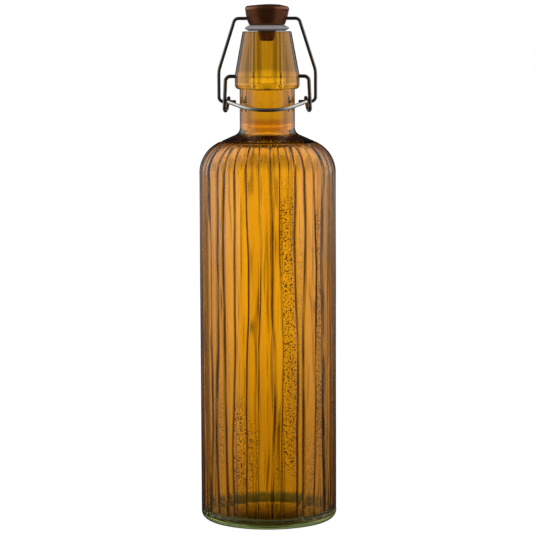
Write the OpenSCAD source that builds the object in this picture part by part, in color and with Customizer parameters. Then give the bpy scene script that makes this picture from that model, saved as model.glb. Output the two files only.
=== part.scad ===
// Swing top bottle: a fluted glass bottle, closed by a stopper and gasket that a bail wire and a
// lever wire pull down onto the lip. Millimetres, +Z up, origin at the centre of the base.
// The lever's bow crosses the front of the neck, towards -Y.

/* [Body] */
// Diameter of the body over the panels between the flutes
body_d = 86; // [80:1:92]
// Height of the straight wall, from the base to the start of the shoulder
body_h = 220; // [150:1:260]
// Thickness of the body wall
wall = 3.2; // [2.4:0.1:4]
// Thickness of the floor at its centre
floor_t = 5; // [4:0.1:7]
// Rounding of the outer heel
heel_r = 5; // [3:0.1:7]
// Rounding where the inside wall meets the floor
inner_heel_r = 7; // [4:0.1:10]
// Width of the flat ring that the bottle stands on
foot_w = 7; // [4:0.1:10]
// Height of the push-up in the middle of the base
punt_h = 3; // [2:0.1:4]

/* [Shoulder] */
// Outer radius of the round shoulder, in profile
shoulder_r = 21; // [17:0.5:23]
// Angle that the round shoulder turns through before it runs on as a cone
shoulder_arc = 66; // [62:1:70]

/* [Flutes] */
// Number of grooves around the body
flute_count = 36; // [24:1:40]
// Angle of the first groove from the +X axis
flute_start = 2.5; // [2:0.5:8]
// Width of a groove
flute_w = 1.8; // [1.2:0.1:2.2]
// Depth of a groove
flute_depth = 0.8; // [0.5:0.1:1.1]
// Height of the grooves' lower ends above the base
flute_foot = 6.5; // [5.5:0.5:15]
// Angle over the round shoulder at which the grooves end
flute_arc = 52; // [30:1:58]

/* [Neck] */
// Outer diameter of the neck
neck_d = 34.6; // [32:0.1:36]
// Length of the straight neck, from the shoulder's fillet to the collar
neck_h = 24; // [20:0.5:40]
// Thickness of the neck's wall
neck_wall = 4.3; // [3:0.1:5]
// Radius of the fillet between the shoulder and the neck
neck_fillet = 5; // [3:0.5:7]

/* [Collar] */
// Diameter of the collar at its upright band
collar_d = 40.6; // [39:0.1:43]
// Height of the collar, from its underside to the lip
collar_h = 36; // [32:0.5:40]
// Height of the upright band at the foot of the collar
band_h = 8.6; // [8:0.1:10]
// Rounding of the collar's lower edge
collar_round = 2.6; // [1.5:0.1:3]
// Diameter of the lip
lip_d = 31; // [29:0.1:33]
// Rounding of the lip's edges
lip_round = 1; // [0.5:0.1:1.5]
// Diameter of the bore in the collar
bore_d = 15.2; // [15:0.1:16]
// Height above the collar's underside at which the bore opens out into the neck
bore_foot = 3; // [1:0.5:5]
// Height of the lever pivot above the collar's underside
pivot_h = 8; // [7.5:0.1:8.4]
// Depth of the dimples that hold the lever's ends
dimple_depth = 3.4; // [3:0.1:4]

/* [Stopper] */
// Diameter of the stopper's rim
rim_d = 27.6; // [26:0.1:30]
// Rounding of the rim
rim_round = 1.9; // [1.4:0.1:2.1]
// Diameter of the head where it meets the gasket
head_foot_d = 21.6; // [20:0.1:23]
// Height of the head, from the gasket to the middle of its top
head_h = 13.1; // [12:0.1:15]
// Rise of the domed top from the rim to its middle
dome_h = 1.1; // [0.6:0.1:1.5]
// Radius of the head's bowed side, in profile
head_side_r = 28; // [24:1:40]
// Height of the bail's bar above the gasket
bar_h = 4.3; // [3.8:0.1:5]
// Diameter of the spigot under the gasket
spigot_d = 11.6; // [10.5:0.1:11.8]
// Diameter of the spigot near its tip
spigot_tip_d = 9.6; // [8:0.1:10]
// Length of the spigot below the gasket
spigot_l = 7.2; // [6:0.1:8]
// Rounding of the spigot's tip
spigot_round = 1.6; // [1:0.1:2]

/* [Gasket] */
// Outer diameter of the gasket
gasket_d = 27.5; // [26:0.1:29]
// Thickness of the gasket
gasket_t = 3.5; // [3:0.1:4]
// Width of the bevels on the gasket's edge
gasket_bevel = 2.3; // [1.5:0.1:2.5]
// Height of the narrow land between the bevels
gasket_land = 0.9; // [0.6:0.1:1.2]

/* [Bail wire] */
// Diameter of the bail wire
bail_d = 2.1; // [1.9:0.05:2.3]
// Distance between the bail's two arms where they run upright, centre to centre
bail_w = 60.6; // [59:0.1:64]
// Width of the bail's bar between its corners, centre to centre
bar_w = 40; // [38:0.5:44]
// Length of the bail's upright stretch above its hooks
bail_upright = 19.5; // [15:0.5:22]
// Distance from the bottle's axis to the end face of each hook
hook_end = 19.6; // [19:0.1:20.5]
// Radius of the bail's bends at the bar and at the hooks
bail_bend = 3; // [2.6:0.1:3.5]
// Radius of the gentle bend half way up the bail's arms
arm_bend = 15; // [10:1:20]

/* [Lever wire] */
// Diameter of the lever wire
lever_d = 2.3; // [2.1:0.05:2.5]
// Distance between the lever's arms just below their ends, centre to centre
lever_w = 52; // [51:0.1:53]
// Distance between the lever's arms at their eyes, centre to centre
eye_w = 54; // [53:0.1:55]
// Distance from the lever's pivot down to the bail's hooks
hook_drop = 15.9; // [15:0.1:18]
// Distance from the hooks down to the bottom of the eyes, centre to centre
eye_drop = 5.6; // [5:0.1:7]
// Radius of the lever's bends at the pivot and where the eyes turn into the bow
lever_bend = 3; // [2.6:0.1:4]
// Angle by which the bow slopes down towards its front
bow_slope = 18.6; // [15:0.2:22]
// Radius of the bow's front
bow_r = 24; // [23:0.5:26]
// Angle between the bow's straight sides and the forward direction
bow_flare = 44; // [42:0.5:46]

/* [Fits] */
// Radial clearance of a wire that turns in a bore or a dimple
pin_clearance = 0.08; // [0.05:0.01:0.1]
// Clearance between wires that hook into each other
hook_clearance = 0.15; // [0.1:0.01:0.25]
// Clearance between the lip and the gasket
seal_clearance = 0.2; // [0.15:0.01:0.3]
// Clearance between the spigot and the gasket's hole
gasket_clearance = 0.1; // [0.05:0.01:0.15]
// Clearance between the front of the bow and the neck
bow_clearance = 0.5; // [0.3:0.05:1]
// Clearance between the end of a lever arm and the bottom of its dimple
end_clearance = 0.3; // [0.2:0.05:0.5]

/* [Hidden] */
$fn = 96;
fuse = 1; // by how much a cutter or a joined shape runs past the face it meets
seam = 0.01; // by how much a wire is thinner at a bend, in radius
seam_lap = 0.1; // by how much a bend runs into the straight wire at its ends
cone_lap = 6; // angle by which the cone's part of a profile reaches back under the round shoulder
flute_join = 8; // angle over the shoulder at which a flute's curved cut takes over from its straight cut

body_r = body_d / 2;
neck_r = neck_d / 2;
collar_r = collar_d / 2;
lip_r = lip_d / 2;
bore_r = bore_d / 2;
throat_r = neck_r - neck_wall;

// Radius of a sphere whose cap has the base radius r and the height h
function dome_radius(r, h) = (r * r + h * h) / (2 * h);
punt_r = dome_radius(body_r - heel_r - foot_w, punt_h);

// A profile of body, shoulder and neck: the round shoulder's centre and end, and the fillet's centre
function shoulder_centre(r, sr) = [r - sr, body_h];
function arc_end(r, sr) = shoulder_centre(r, sr) + sr * arc_normal;
function under_arc(r, sr) = shoulder_centre(r, sr)
    + sr / 2 * [cos(shoulder_arc - cone_lap), sin(shoulder_arc - cone_lap)];
function cone_run(r, sr, nr, fr) = (arc_end(r, sr).x + fr * arc_normal.x - nr - fr) / sin(shoulder_arc);
function cone_end(r, sr, nr, fr) = arc_end(r, sr) + cone_run(r, sr, nr, fr) * cone_dir;
function fillet_centre(r, sr, nr, fr) = cone_end(r, sr, nr, fr) + fr * arc_normal;
arc_normal = [cos(shoulder_arc), sin(shoulder_arc)];
cone_dir = [-sin(shoulder_arc), cos(shoulder_arc)];

collar_z = fillet_centre(body_r, shoulder_r, neck_r, neck_fillet).y + neck_h;
lip_z = collar_z + collar_h;
pivot_z = collar_z + pivot_h;
gasket_z = lip_z + seal_clearance;
head_z = gasket_z + gasket_t;
bar_z = head_z + bar_h;
top_z = head_z + head_h;

// The bail's hooks hang behind the lever's arms, as far as the two wires need
hook_gap = (bail_d + lever_d) / 2 + hook_clearance;
hook_y = hook_gap;
hook_z = pivot_z - hook_drop;
bail_lean = atan(hook_y / (bar_z - hook_z));
bail_reach = norm([hook_y, bar_z - hook_z]);

// The lever: its arms, the eyes' rear legs and the bow, which lies in a sloping plane. The bow starts
// beside the arms, which lean inwards up to the pivot, and clears them where it passes them.
eye_z = hook_z - eye_drop;
eye_rear_y = 2 * hook_gap;
eye_top_turn = 90 + bow_slope;
eye_top_z = hook_z + hook_gap * tan(eye_top_turn / 2);
arm_lean = (eye_w - lever_w) / 2 / (pivot_z - eye_z);
bow_x = eye_w / 2 - arm_lean * (eye_top_z - eye_z) - lever_d - hook_clearance;
bow_front = neck_r + bow_clearance + lever_d / 2;
bow_front_run = bow_front / cos(bow_slope);
bow_tip_run = bow_front_run + bow_r * (1 / sin(bow_flare) - 1);
bow_corner_run = bow_tip_run - bow_x / tan(bow_flare);
// A point of the bow, from its distance along the slope in front of the bottle's axis
function bow_point(x, run) = [x, -run * cos(bow_slope),
    eye_top_z - (eye_rear_y + run * cos(bow_slope)) * tan(bow_slope)];
dimple_floor = collar_r - dimple_depth;

// Places its children's +X, +Y and +Z along x, y and z, with their origin at o
module placed(o, x, y, z)
    multmatrix([[x.x, y.x, z.x, o.x], [x.y, y.y, z.y, o.y], [x.z, y.z, z.z, o.z], [0, 0, 0, 1]])
        children();

function unit(v) = v / norm(v);
// A unit vector square to v
function square_to(v) = unit(cross(v, abs(v.x) < 0.7 * norm(v) ? [1, 0, 0] : [0, 1, 0]));
function direction(pts, i) = unit(pts[i + 1] - pts[i]);
function turn(pts, i) = acos(direction(pts, i - 1) * direction(pts, i));
function setback(pts, bends, i) = bends[i] == 0 ? 0 : bends[i] * tan(turn(pts, i) / 2);

// One straight run of wire, from the point a to the point b
module straight_run(a, b, d) {
    z = unit(b - a);
    x = square_to(z);
    placed(a, x, cross(z, x), z) cylinder(d = d, h = norm(b - a));
}

// One bend of wire at the corner p, from the direction u to the direction v, to the radius r. It is
// thinner than the runs by a seam and runs into both, so that no two faces only graze each other.
module elbow(p, u, v, r, d) {
    angle = acos(u * v);
    centre = p + unit(v - u) * r / cos(angle / 2);
    x = unit(p - u * r * tan(angle / 2) - centre);
    lap = seam_lap / r * 180 / PI;
    placed(centre, x, u, cross(x, u)) rotate([0, 0, -lap])
        rotate_extrude(angle = angle + 2 * lap) translate([r, 0]) circle(d = d - 2 * seam);
}

// A round wire along the corners pts, bent to the radius in bends at each, and 0 at its two ends
module bent_wire(pts, bends, d) {
    for (i = [0 : len(pts) - 2])
        straight_run(pts[i] + setback(pts, bends, i) * direction(pts, i),
            pts[i + 1] - setback(pts, bends, i + 1) * direction(pts, i), d);
    for (i = [1 : len(pts) - 2])
        elbow(pts[i], direction(pts, i - 1), direction(pts, i), bends[i], d);
}

// Mirror images of a side's corners and bends, from the middle outwards to the other end
function mirrored(pts) = [for (i = [len(pts) - 1 : -1 : 0]) [-pts[i].x, pts[i].y, pts[i].z]];
function reversed(list) = [for (i = [len(list) - 1 : -1 : 0]) list[i]];

// A disc's sector around the centre c, from the angle a0 to the angle a1
module sector(c, r, a0, a1) {
    intersection() {
        translate(c) circle(r = r);
        polygon([c, c + 2 * r * [cos(a0), sin(a0)], c + 2 * r * [cos((a0 + a1) / 2), sin((a0 + a1) / 2)],
            c + 2 * r * [cos(a1), sin(a1)]]);
    }
}

// The half profile of body, shoulder and neck, with a rounded heel
module vessel_profile(r, sr, nr, fr, hr, z0, z1) {
    c = shoulder_centre(r, sr);
    f = fillet_centre(r, sr, nr, fr);
    heel = [r - hr, z0 + hr];
    difference() {
        polygon([[0, z0], [heel.x, z0], heel, [r, heel.y], [r, body_h], c, under_arc(r, sr),
            arc_end(r, sr), cone_end(r, sr, nr, fr), f, [nr, f.y], [nr, z1], [0, z1]]);
        translate(f) circle(r = fr);
    }
    sector(c, sr, 0, shoulder_arc);
    sector(heel, hr, -90, 0);
}

// The collar's half profile, from inside the neck out to the lip, with round edges
module collar_profile() {
    low = [collar_r - collar_round, collar_z + collar_round];
    high = [lip_r - lip_round, lip_z - lip_round];
    polygon([[0, collar_z - fuse], [neck_r - fuse, collar_z - fuse], [neck_r - fuse, collar_z],
        [low.x, collar_z], low, [collar_r, low.y], [collar_r, collar_z + band_h], [lip_r, high.y], high,
        [high.x, lip_z], [0, lip_z]]);
    sector(low, collar_round, -90, 0);
    sector(high, lip_round, 0, 90);
}

// The half profile of the space inside: the cavity over its domed floor, the throat and the bore
module cavity_profile() {
    bore_z = collar_z + bore_foot;
    throat_z = bore_z - (throat_r - bore_r);
    difference() {
        vessel_profile(body_r - wall, shoulder_r - wall, throat_r, neck_fillet + wall, inner_heel_r,
            floor_t, throat_z);
        translate([0, punt_h + floor_t - punt_r]) circle(r = punt_r);
    }
    polygon([[0, throat_z - fuse], [throat_r - fuse, throat_z - fuse], [throat_r - fuse, throat_z],
        [throat_r, throat_z], [bore_r, bore_z], [bore_r, lip_z + fuse], [0, lip_z + fuse]]);
}

// One flute's cutter: straight up the body until it runs out at the shoulder's curve, and round the
// shoulder from where the straight groove has become shallower
module flute_cutter() {
    cut_r = dome_radius(flute_w / 2, flute_depth);
    out = cut_r - flute_depth;
    translate([body_r + out, 0, flute_foot]) cylinder(r = cut_r, h = body_h + shoulder_r / 2 - flute_foot);
    translate([body_r - shoulder_r, 0, body_h]) rotate([90, 0, 0]) rotate([0, 0, flute_join])
        rotate_extrude(angle = flute_arc - flute_join) translate([shoulder_r + out, 0]) circle(r = cut_r);
}

module bottle() color([0.72, 0.42, 0.05, 0.55])
    difference() {
        rotate_extrude() difference() {
            union() {
                vessel_profile(body_r, shoulder_r, neck_r, neck_fillet, heel_r, 0, collar_z + fuse);
                collar_profile();
            }
            cavity_profile();
            translate([0, punt_h - punt_r]) circle(r = punt_r);
        }
        for (i = [0 : flute_count - 1]) rotate([0, 0, flute_start + i * 360 / flute_count]) flute_cutter();
        for (side = [-1, 1]) translate([side * dimple_floor, 0, pivot_z]) rotate([0, side * 90, 0])
            cylinder(d = lever_d + 2 * pin_clearance, h = dimple_depth + fuse);
    }

// The head's half profile: a bowed side from the gasket up to the rim, a round rim and a domed top
module head_profile() {
    rim = [rim_d / 2 - rim_round, top_z - dome_h - rim_round];
    foot = [head_foot_d / 2, head_z];
    lip = rim + rim_round * [cos(-30), sin(-30)];
    chord = lip - foot;
    out = unit([chord.y, -chord.x]);
    centre = (lip + foot) / 2 - out * sqrt(head_side_r * head_side_r - chord * chord / 4);
    dome_r = dome_radius(rim.x, dome_h);
    intersection() {
        translate(centre) circle(r = head_side_r);
        translate([0, head_z]) square([rim_d, lip.y - head_z]);
    }
    polygon([[0, lip.y - fuse], [lip.x - fuse, lip.y - fuse], lip, rim, [rim.x, rim.y + rim_round],
        [0, rim.y + rim_round]]);
    sector(rim, rim_round, -30, 90);
    intersection() {
        translate([0, top_z - dome_r]) circle(r = dome_r);
        translate([0, rim.y]) square([rim.x, rim_d]);
    }
}

module spigot_profile() {
    tip = [spigot_tip_d / 2 - spigot_round, gasket_z - spigot_l + spigot_round];
    polygon([[0, tip.y - spigot_round], [tip.x, tip.y - spigot_round], tip, [tip.x + spigot_round, tip.y],
        [spigot_d / 2, gasket_z], [spigot_d / 2, head_z + fuse], [0, head_z + fuse]]);
    sector(tip, spigot_round, -90, 0);
}

module stopper() color([0.45, 0.24, 0.12])
    difference() {
        rotate_extrude() union() {
            head_profile();
            spigot_profile();
        }
        translate([-rim_d / 2, 0, bar_z]) rotate([0, 90, 0])
            cylinder(d = bail_d + 2 * pin_clearance, h = rim_d);
    }

module gasket() color([0.72, 0.70, 0.72])
    rotate_extrude() {
        hole = spigot_d / 2 + gasket_clearance;
        rim = gasket_d / 2;
        flat = rim - gasket_bevel;
        middle = gasket_z + gasket_t / 2;
        polygon([[hole, gasket_z], [flat, gasket_z], [rim, middle - gasket_land / 2],
            [rim, middle + gasket_land / 2], [flat, head_z], [hole, head_z]]);
    }

module bail_wire() color([0.2, 0.2, 0.2]) {
    side = [[hook_end, 0, 0], [bail_w / 2, 0, 0], [bail_w / 2, 0, bail_upright], [bar_w / 2, 0, bail_reach]];
    bends = [0, bail_bend, arm_bend, bail_bend];
    translate([0, hook_y, hook_z]) rotate([bail_lean, 0, 0])
        bent_wire(concat(side, mirrored(side)), concat(bends, reversed(bends)), bail_d);
}

module lever_wire() color([0.25, 0.25, 0.25]) {
    side = [[dimple_floor + end_clearance, 0, pivot_z], [lever_w / 2, 0, pivot_z], [eye_w / 2, 0, eye_z],
        [(eye_w / 2 + bow_x) / 2, eye_rear_y, eye_z], [bow_x, eye_rear_y, eye_top_z],
        bow_point(bow_x, bow_corner_run)];
    bends = [0, lever_bend, hook_gap, hook_gap, hook_gap, lever_bend];
    bent_wire(concat(side, [bow_point(0, bow_tip_run)], mirrored(side)),
        concat(bends, [bow_r], reversed(bends)), lever_d);
}

bottle();
stopper();
gasket();
bail_wire();
lever_wire();
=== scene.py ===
import math

import bpy
import numpy as np
from mathutils import Matrix, Vector, noise


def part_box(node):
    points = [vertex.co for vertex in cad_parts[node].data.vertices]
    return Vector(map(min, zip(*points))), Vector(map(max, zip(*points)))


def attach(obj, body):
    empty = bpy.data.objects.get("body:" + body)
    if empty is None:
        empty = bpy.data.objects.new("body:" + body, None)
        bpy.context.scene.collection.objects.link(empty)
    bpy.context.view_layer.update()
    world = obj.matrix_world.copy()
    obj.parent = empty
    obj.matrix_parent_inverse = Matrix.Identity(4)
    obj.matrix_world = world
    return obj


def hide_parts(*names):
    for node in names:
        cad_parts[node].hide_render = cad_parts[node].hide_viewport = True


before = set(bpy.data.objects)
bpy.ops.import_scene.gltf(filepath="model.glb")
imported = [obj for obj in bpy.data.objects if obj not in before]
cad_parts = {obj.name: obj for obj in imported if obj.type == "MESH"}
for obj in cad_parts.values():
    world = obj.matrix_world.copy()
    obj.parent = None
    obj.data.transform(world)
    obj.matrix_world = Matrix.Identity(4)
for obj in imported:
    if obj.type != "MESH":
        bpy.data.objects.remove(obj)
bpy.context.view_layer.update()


# ---- Bottle ------------------------------------------------------------------------------------
# One piece of recycled glass, green all through, pressed with 36 upright flutes that wander a
# little. An amber coat is sprayed on its outside and stops short of the foot. It is a closed
# mesh of rings: up the outside, over the lip, and down the inside to the floor.
MM = 0.001
BODY_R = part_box("bottle")[1].x
LIP_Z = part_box("bottle")[1].z
COLLAR_Z = LIP_Z - 36 * MM
BODY_H = 220 * MM
SHOULDER_R = 21 * MM
SHOULDER_ARC = math.radians(66)
NECK_R = 17.3 * MM
NECK_FILLET = 5 * MM
COLLAR_R = 20.3 * MM
COLLAR_ROUND = 2.6 * MM
BAND_H = 8.6 * MM
LIP_R = 15.5 * MM
LIP_ROUND = 1 * MM
HEEL_R = 5 * MM
FOOT_R = 31 * MM
PUNT_H = 3 * MM
WALL = 3.2 * MM
FLOOR_T = 4.2 * MM
INNER_HEEL_R = 4.5 * MM
INNER_SHOULDER_R = 19 * MM
THROAT_R = 13 * MM
BORE_R = 7.6 * MM
BORE_Z = COLLAR_Z + 4.5 * MM
THROAT_DROP = 5 * MM
BORE_ROUND = 0.8 * MM

FLUTES = 36
FLUTE_START = math.radians(2.5)
FLUTE_SCATTER = 1.6 * MM
FLUTE_HALF_W = 1.0 * MM
FLUTE_DEPTH = 0.6 * MM
FLUTE_FOOT = 6 * MM
FLUTE_ARC = math.radians(65)
FLUTE_ARC_FADE = math.radians(9)
VALLEY_ROUND = 0.06
AMBER_EDGE = 8 * MM
# Distances from the middle of a flute, at the body's surface, where the mesh has a column
FLUTE_COLUMNS = np.array([0, 0.25, 0.5, 0.8, 1.1, 1.6]) * MM
RUN_W = 1.9 * MM
PANEL_STEPS = (0.25, 0.62)
PLAIN_COLUMNS = 126
WALL_ROWS = 80
INNER_WALL_ROWS = 60
SHOULDER_ROWS = 26
INNER_SHOULDER_ROWS = 20
FLOOR_RINGS = 9
FLARE_ROWS = 15
WOBBLE_SIZE = 25 * MM
WOBBLE_STRETCH = 0.4
OUTER_WOBBLE = 0.1 * MM
INNER_WOBBLE = 0.2 * MM
INNER_HEEL_WOBBLE = 0.3 * MM
PEEL_FADE = 25 * MM
# Panels with an orange-peel skin: the panel, where it starts and ends, and how strong it is
ORANGE_PEEL = [
    (24, 8, 95, 1.0), (25, 12, 80, 0.9), (27, 10, 60, 0.7), (28, 20, 225, 1.0),
    (29, 60, 190, 0.45), (30, 10, 70, 0.8), (31, 30, 215, 1.1), (3, 15, 120, 0.8), (5, 90, 190, 0.7),
    (13, 10, 90, 0.8), (15, 70, 170, 0.8), (16, 10, 60, 0.6),
]

# The coat: thin, thick, pooled, with a painted sheen where it turns a little away from the eye,
# and a painted dark edge with a bluish reflection at a steep slant. The thick and pooled
# colours also paint shade at the root of the neck and in the band round the shoulder
AMBER = (0.64, 0.256, 0.0032)
AMBER_DEEP_AND_SHADE = (0.42, 0.12, 0.0015)
AMBER_POOLED_AND_SHADE = (0.018, 0.0035, 0.0002)
AMBER_PAINTED_SHEEN = (0.47, 0.17, 0.012)
AMBER_SLANT_SHADE_AND_REFLECTION = (0.16, 0.09, 0.13)
AMBER_EDGE_FADE = 1.6 * MM
AMBER_EDGE_RAGGED = 2.4 * MM
# It is thicker in thin lines, in broad streaks and towards the foot, and darker with painted
# shade at the root of the neck
THIN_LINE_DEPTH = 0.7
TONE_DEPTH = 0.4
FOOT_DEPTH = 0.35
ROOT_SHADE_LOW = 244 * MM
ROOT_SHADE_HIGH = 255 * MM
ROOT_SHADE_FADE = 3.5 * MM
# The painted shade band round the top of the shoulder, a little higher at the front
SHADE_BAND_LOW = 237.2 * MM
SHADE_BAND_LOW_FADE = 3.2 * MM
SHADE_BAND_HIGH = 242.2 * MM
SHADE_BAND_HIGH_FADE = 2.4 * MM
SHADE_BAND_LEAN = 0.048
SHADE_BAND_RAGGED = 7 * MM
# The bare foot's green and the same with painted shade, painted shade on the underside, clear glass, and
# the inside floor's green with painted shade
GREEN = (0.50, 0.52, 0.20)
GREEN_SHADED = (0.21, 0.17, 0.07)
UNDERSIDE_SHADE = (0.12, 0.11, 0.05)
CLEAR = (0.97, 0.98, 0.95)
FLOOR_GREEN_SHADE = (0.22, 0.19, 0.07)
GLASS_IOR = 1.5
GLASS_DENSITY = 14.0
GLASS_COLOUR = (0.25, 0.6, 0.15)
UNDERSIDE_ROUGHNESS = 0.6
PEEL_HEIGHT = 0.12 * MM
# Grain cells to a metre along X, Y and Z
PIT_CELLS = (1000.0, 1000.0, 1000.0)
WISP_CELLS = (700.0, 700.0, 16.0)
TONE_CELLS = (150.0, 150.0, 5.0)
EDGE_CELLS = (90.0, 90.0, 90.0)

MOULD_SEED = 36
rng = np.random.default_rng(MOULD_SEED)


def arc(centre, radius, start, end, steps):
    """Points (radius, height) round a centre, from one angle in degrees to another."""
    turns = np.radians(np.linspace(start, end, steps + 1))
    return [(centre[0] + radius * math.cos(a), centre[1] + radius * math.sin(a)) for a in turns]


def line(start, end, steps):
    """Points from start to end, without the first one."""
    return [tuple(np.array(start) + (np.array(end) - start) * i / steps) for i in range(1, steps + 1)]


def shoulder(wall_r, shoulder_r, shoulder_arc, neck_r, fillet, top, steps):
    """The round shoulder, the cone above it and the fillet into the neck, up to the height top."""
    turn = math.degrees(shoulder_arc)
    centre = (wall_r - shoulder_r, BODY_H)
    rounded = arc(centre, shoulder_r, 0, turn, steps)
    out = np.array([math.cos(shoulder_arc), math.sin(shoulder_arc)])
    run = (rounded[-1][0] + fillet * out[0] - neck_r - fillet) / out[1]
    cone_top = np.array(rounded[-1]) + run * np.array([-out[1], out[0]])
    bend = arc(tuple(cone_top + fillet * out), fillet, 180 + turn, 180, 10)
    return rounded, line(rounded[-1], cone_top, 5) + bend[1:] + line(bend[-1], (neck_r, top), 10)


def waves(count, lengths, sizes):
    """For each of count flutes, a smooth random function of height: waves of these lengths."""
    phases = rng.uniform(0, 2 * math.pi, (count, len(lengths)))
    return lambda z: sum(
        size * np.sin(2 * math.pi * z / length + phases[:, i])
        for i, (length, size) in enumerate(zip(lengths, sizes))
    )


def smooth(low, high, value):
    """0 below low, 1 above high, and a smooth rise between them."""
    t = np.clip((value - low) / (high - low), 0, 1)
    return t * t * (3 - 2 * t)


flute_wander = waves(FLUTES, (260 * MM, 110 * MM, 40 * MM), (0.9 * MM, 0.4 * MM, 0.10 * MM))
flute_breath = waves(FLUTES, (120 * MM, 45 * MM, 19 * MM), (0.16, 0.12, 0.07))
panel_breath = waves(FLUTES, (150 * MM, 60 * MM), (0.5, 0.3))
flute_place = FLUTE_START + np.arange(FLUTES) * 2 * math.pi / FLUTES
flute_place = flute_place + rng.uniform(-FLUTE_SCATTER, FLUTE_SCATTER, FLUTES) / BODY_R
flute_strength = rng.uniform(0.4, 1.4, FLUTES)
flute_width = rng.uniform(0.55, 1.8, FLUTES)
flute_pool = rng.uniform(0.5, 1.0, FLUTES)
flute_side = rng.choice((-1, 1), FLUTES)
flute_run = rng.uniform(0.15, 0.5, FLUTES)
pool_breath = waves(FLUTES, (140 * MM, 50 * MM), (0.25, 0.12))
# The rear half of the mould is more worn: its grooves are shallower and hold less of the coat
rear_half = slice(FLUTES // 2)
flute_strength[rear_half] *= 0.3
flute_width[rear_half] *= 0.7
flute_pool[rear_half] -= 0.5
flute_run[rear_half] *= 0.4
panel_crown = rng.uniform(0.02, 0.16, FLUTES) * MM
peel_size = dict.fromkeys(range(FLUTES), (0.0, 0.0, 0.0))
peel_size.update({panel: (low * MM, high * MM, size) for panel, low, high, size in ORANGE_PEEL})


def fluted_ring(r, z, fade):
    """Angles, radii and marks of one ring of the fluted wall; fade is the flutes' share there."""
    middle = flute_place + flute_wander(z) / BODY_R * fade
    after = np.roll(middle, -1)
    after[-1] += 2 * math.pi
    half = (after - middle) / 2
    depth = FLUTE_DEPTH * flute_strength * (1 + flute_breath(z)) * fade
    crown = panel_crown * (1 + panel_breath(z)) * fade
    pool = np.clip(flute_pool + pool_breath(z), 0, 1)
    angles, radii, grooves, peels = [], [], [], []
    near = FLUTE_COLUMNS / BODY_R
    edge = near[-1]
    for k in range(FLUTES):
        nxt = (k + 1) % FLUTES
        peel_low, peel_high, peel = peel_size[k]
        peel_start = smooth(peel_low, peel_low + PEEL_FADE, z)
        peel_end = smooth(peel_high - PEEL_FADE, peel_high, z)
        peel *= peel_start * (1 - peel_end) * fade
        plain = half[k] - edge
        rising = list(middle[k] + near) + [middle[k] + edge + share * plain for share in PANEL_STEPS]
        falling = [after[k] - edge - share * plain for share in reversed(PANEL_STEPS)]
        falling += list(after[k] - near[:0:-1])
        columns = [(a, k, middle[k]) for a in rising] + [(middle[k] + half[k], k, middle[k])]
        columns += [(a, nxt, after[k]) for a in falling]
        for a, owner, centre in columns:
            t = abs(a - centre) * BODY_R / (FLUTE_HALF_W * flute_width[owner])
            groove = (1 - t * t) ** 2 if t < 1 else 0.0
            valley = max(0.0, 1 - math.sqrt((1 - VALLEY_ROUND) * t * t + VALLEY_ROUND))
            across = (a - middle[k]) / half[k] - 1
            angles.append(a)
            radii.append(r - depth[owner] * valley - crown[k] * across * across)
            # The coat runs a little way out of the groove on one side
            out = (a - centre) * BODY_R * flute_side[owner] / RUN_W
            run = flute_run[owner] * (1 - out) ** 2 if 0 < out < 1 else 0.0
            grooves.append(max(groove * pool[owner], run) * fade)
            peels.append(peel * (1 - groove))
    return np.array(angles), np.array(radii), np.array(grooves), np.array(peels)


class Rings:
    """Rings of vertices joined one to the next, with what the material reads at each vertex."""

    def __init__(self):
        self.points, self.faces = [], []
        self.marks = {"groove": [], "peel": [], "skin": [], "under": []}
        self.last = None

    def add(self, angles, radii, z, grooves=None, peels=None, skin=1.0, under=0.0, wobble=0.0):
        start, count = len(self.points), len(angles)
        for i in range(count):
            c, s = math.cos(angles[i]), math.sin(angles[i])
            r = radii[i]
            # The outside mostly sinks, so that it keeps to its size; the inside goes both ways
            if wobble:
                seat = Vector((c * BODY_R, s * BODY_R, z * WOBBLE_STRETCH)) / WOBBLE_SIZE
                r += wobble * (noise.noise(seat) - (0.5 if skin else 0))
            self.points.append((r * c, r * s, z))
            self.marks["groove"].append(0.0 if grooves is None else float(grooves[i]))
            self.marks["peel"].append(0.0 if peels is None else float(peels[i]))
            self.marks["skin"].append(skin)
            self.marks["under"].append(under)
        if self.last:
            self.join(*self.last, start, count)
        self.last = (start, count)

    def join(self, a, na, b, nb):
        """Faces between two rings, given by their first vertex and their number of vertices."""
        if na == nb:
            for i in range(na):
                j = (i + 1) % na
                self.faces.append((a + i, a + j, b + j, b + i))
        elif nb == 1 or na == 1:
            pole, ring, n = (b, a, na) if nb == 1 else (a, b, nb)
            for i in range(n):
                j = (i + 1) % n
                self.faces.append((ring + i, ring + j, pole) if nb == 1 else (ring + j, ring + i, pole))
        else:
            fine, nf, coarse, nc = (a, na, b, nb) if na > nb else (b, nb, a, na)
            step = nf // nc
            for i in range(nc):
                here, there = coarse + i, coarse + (i + 1) % nc
                fans = [(fine + i * step + s, fine + (i * step + s + 1) % nf) for s in range(step)]
                half = step // 2
                rows = [(p, q, here) for p, q in fans[:half]] + [(fans[half][0], there, here)]
                rows += [(p, q, there) for p, q in fans[half:]]
                self.faces += rows if na > nb else [row[::-1] for row in rows]


def even(count, phase=0.0):
    return phase + np.arange(count) * 2 * math.pi / count


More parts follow.
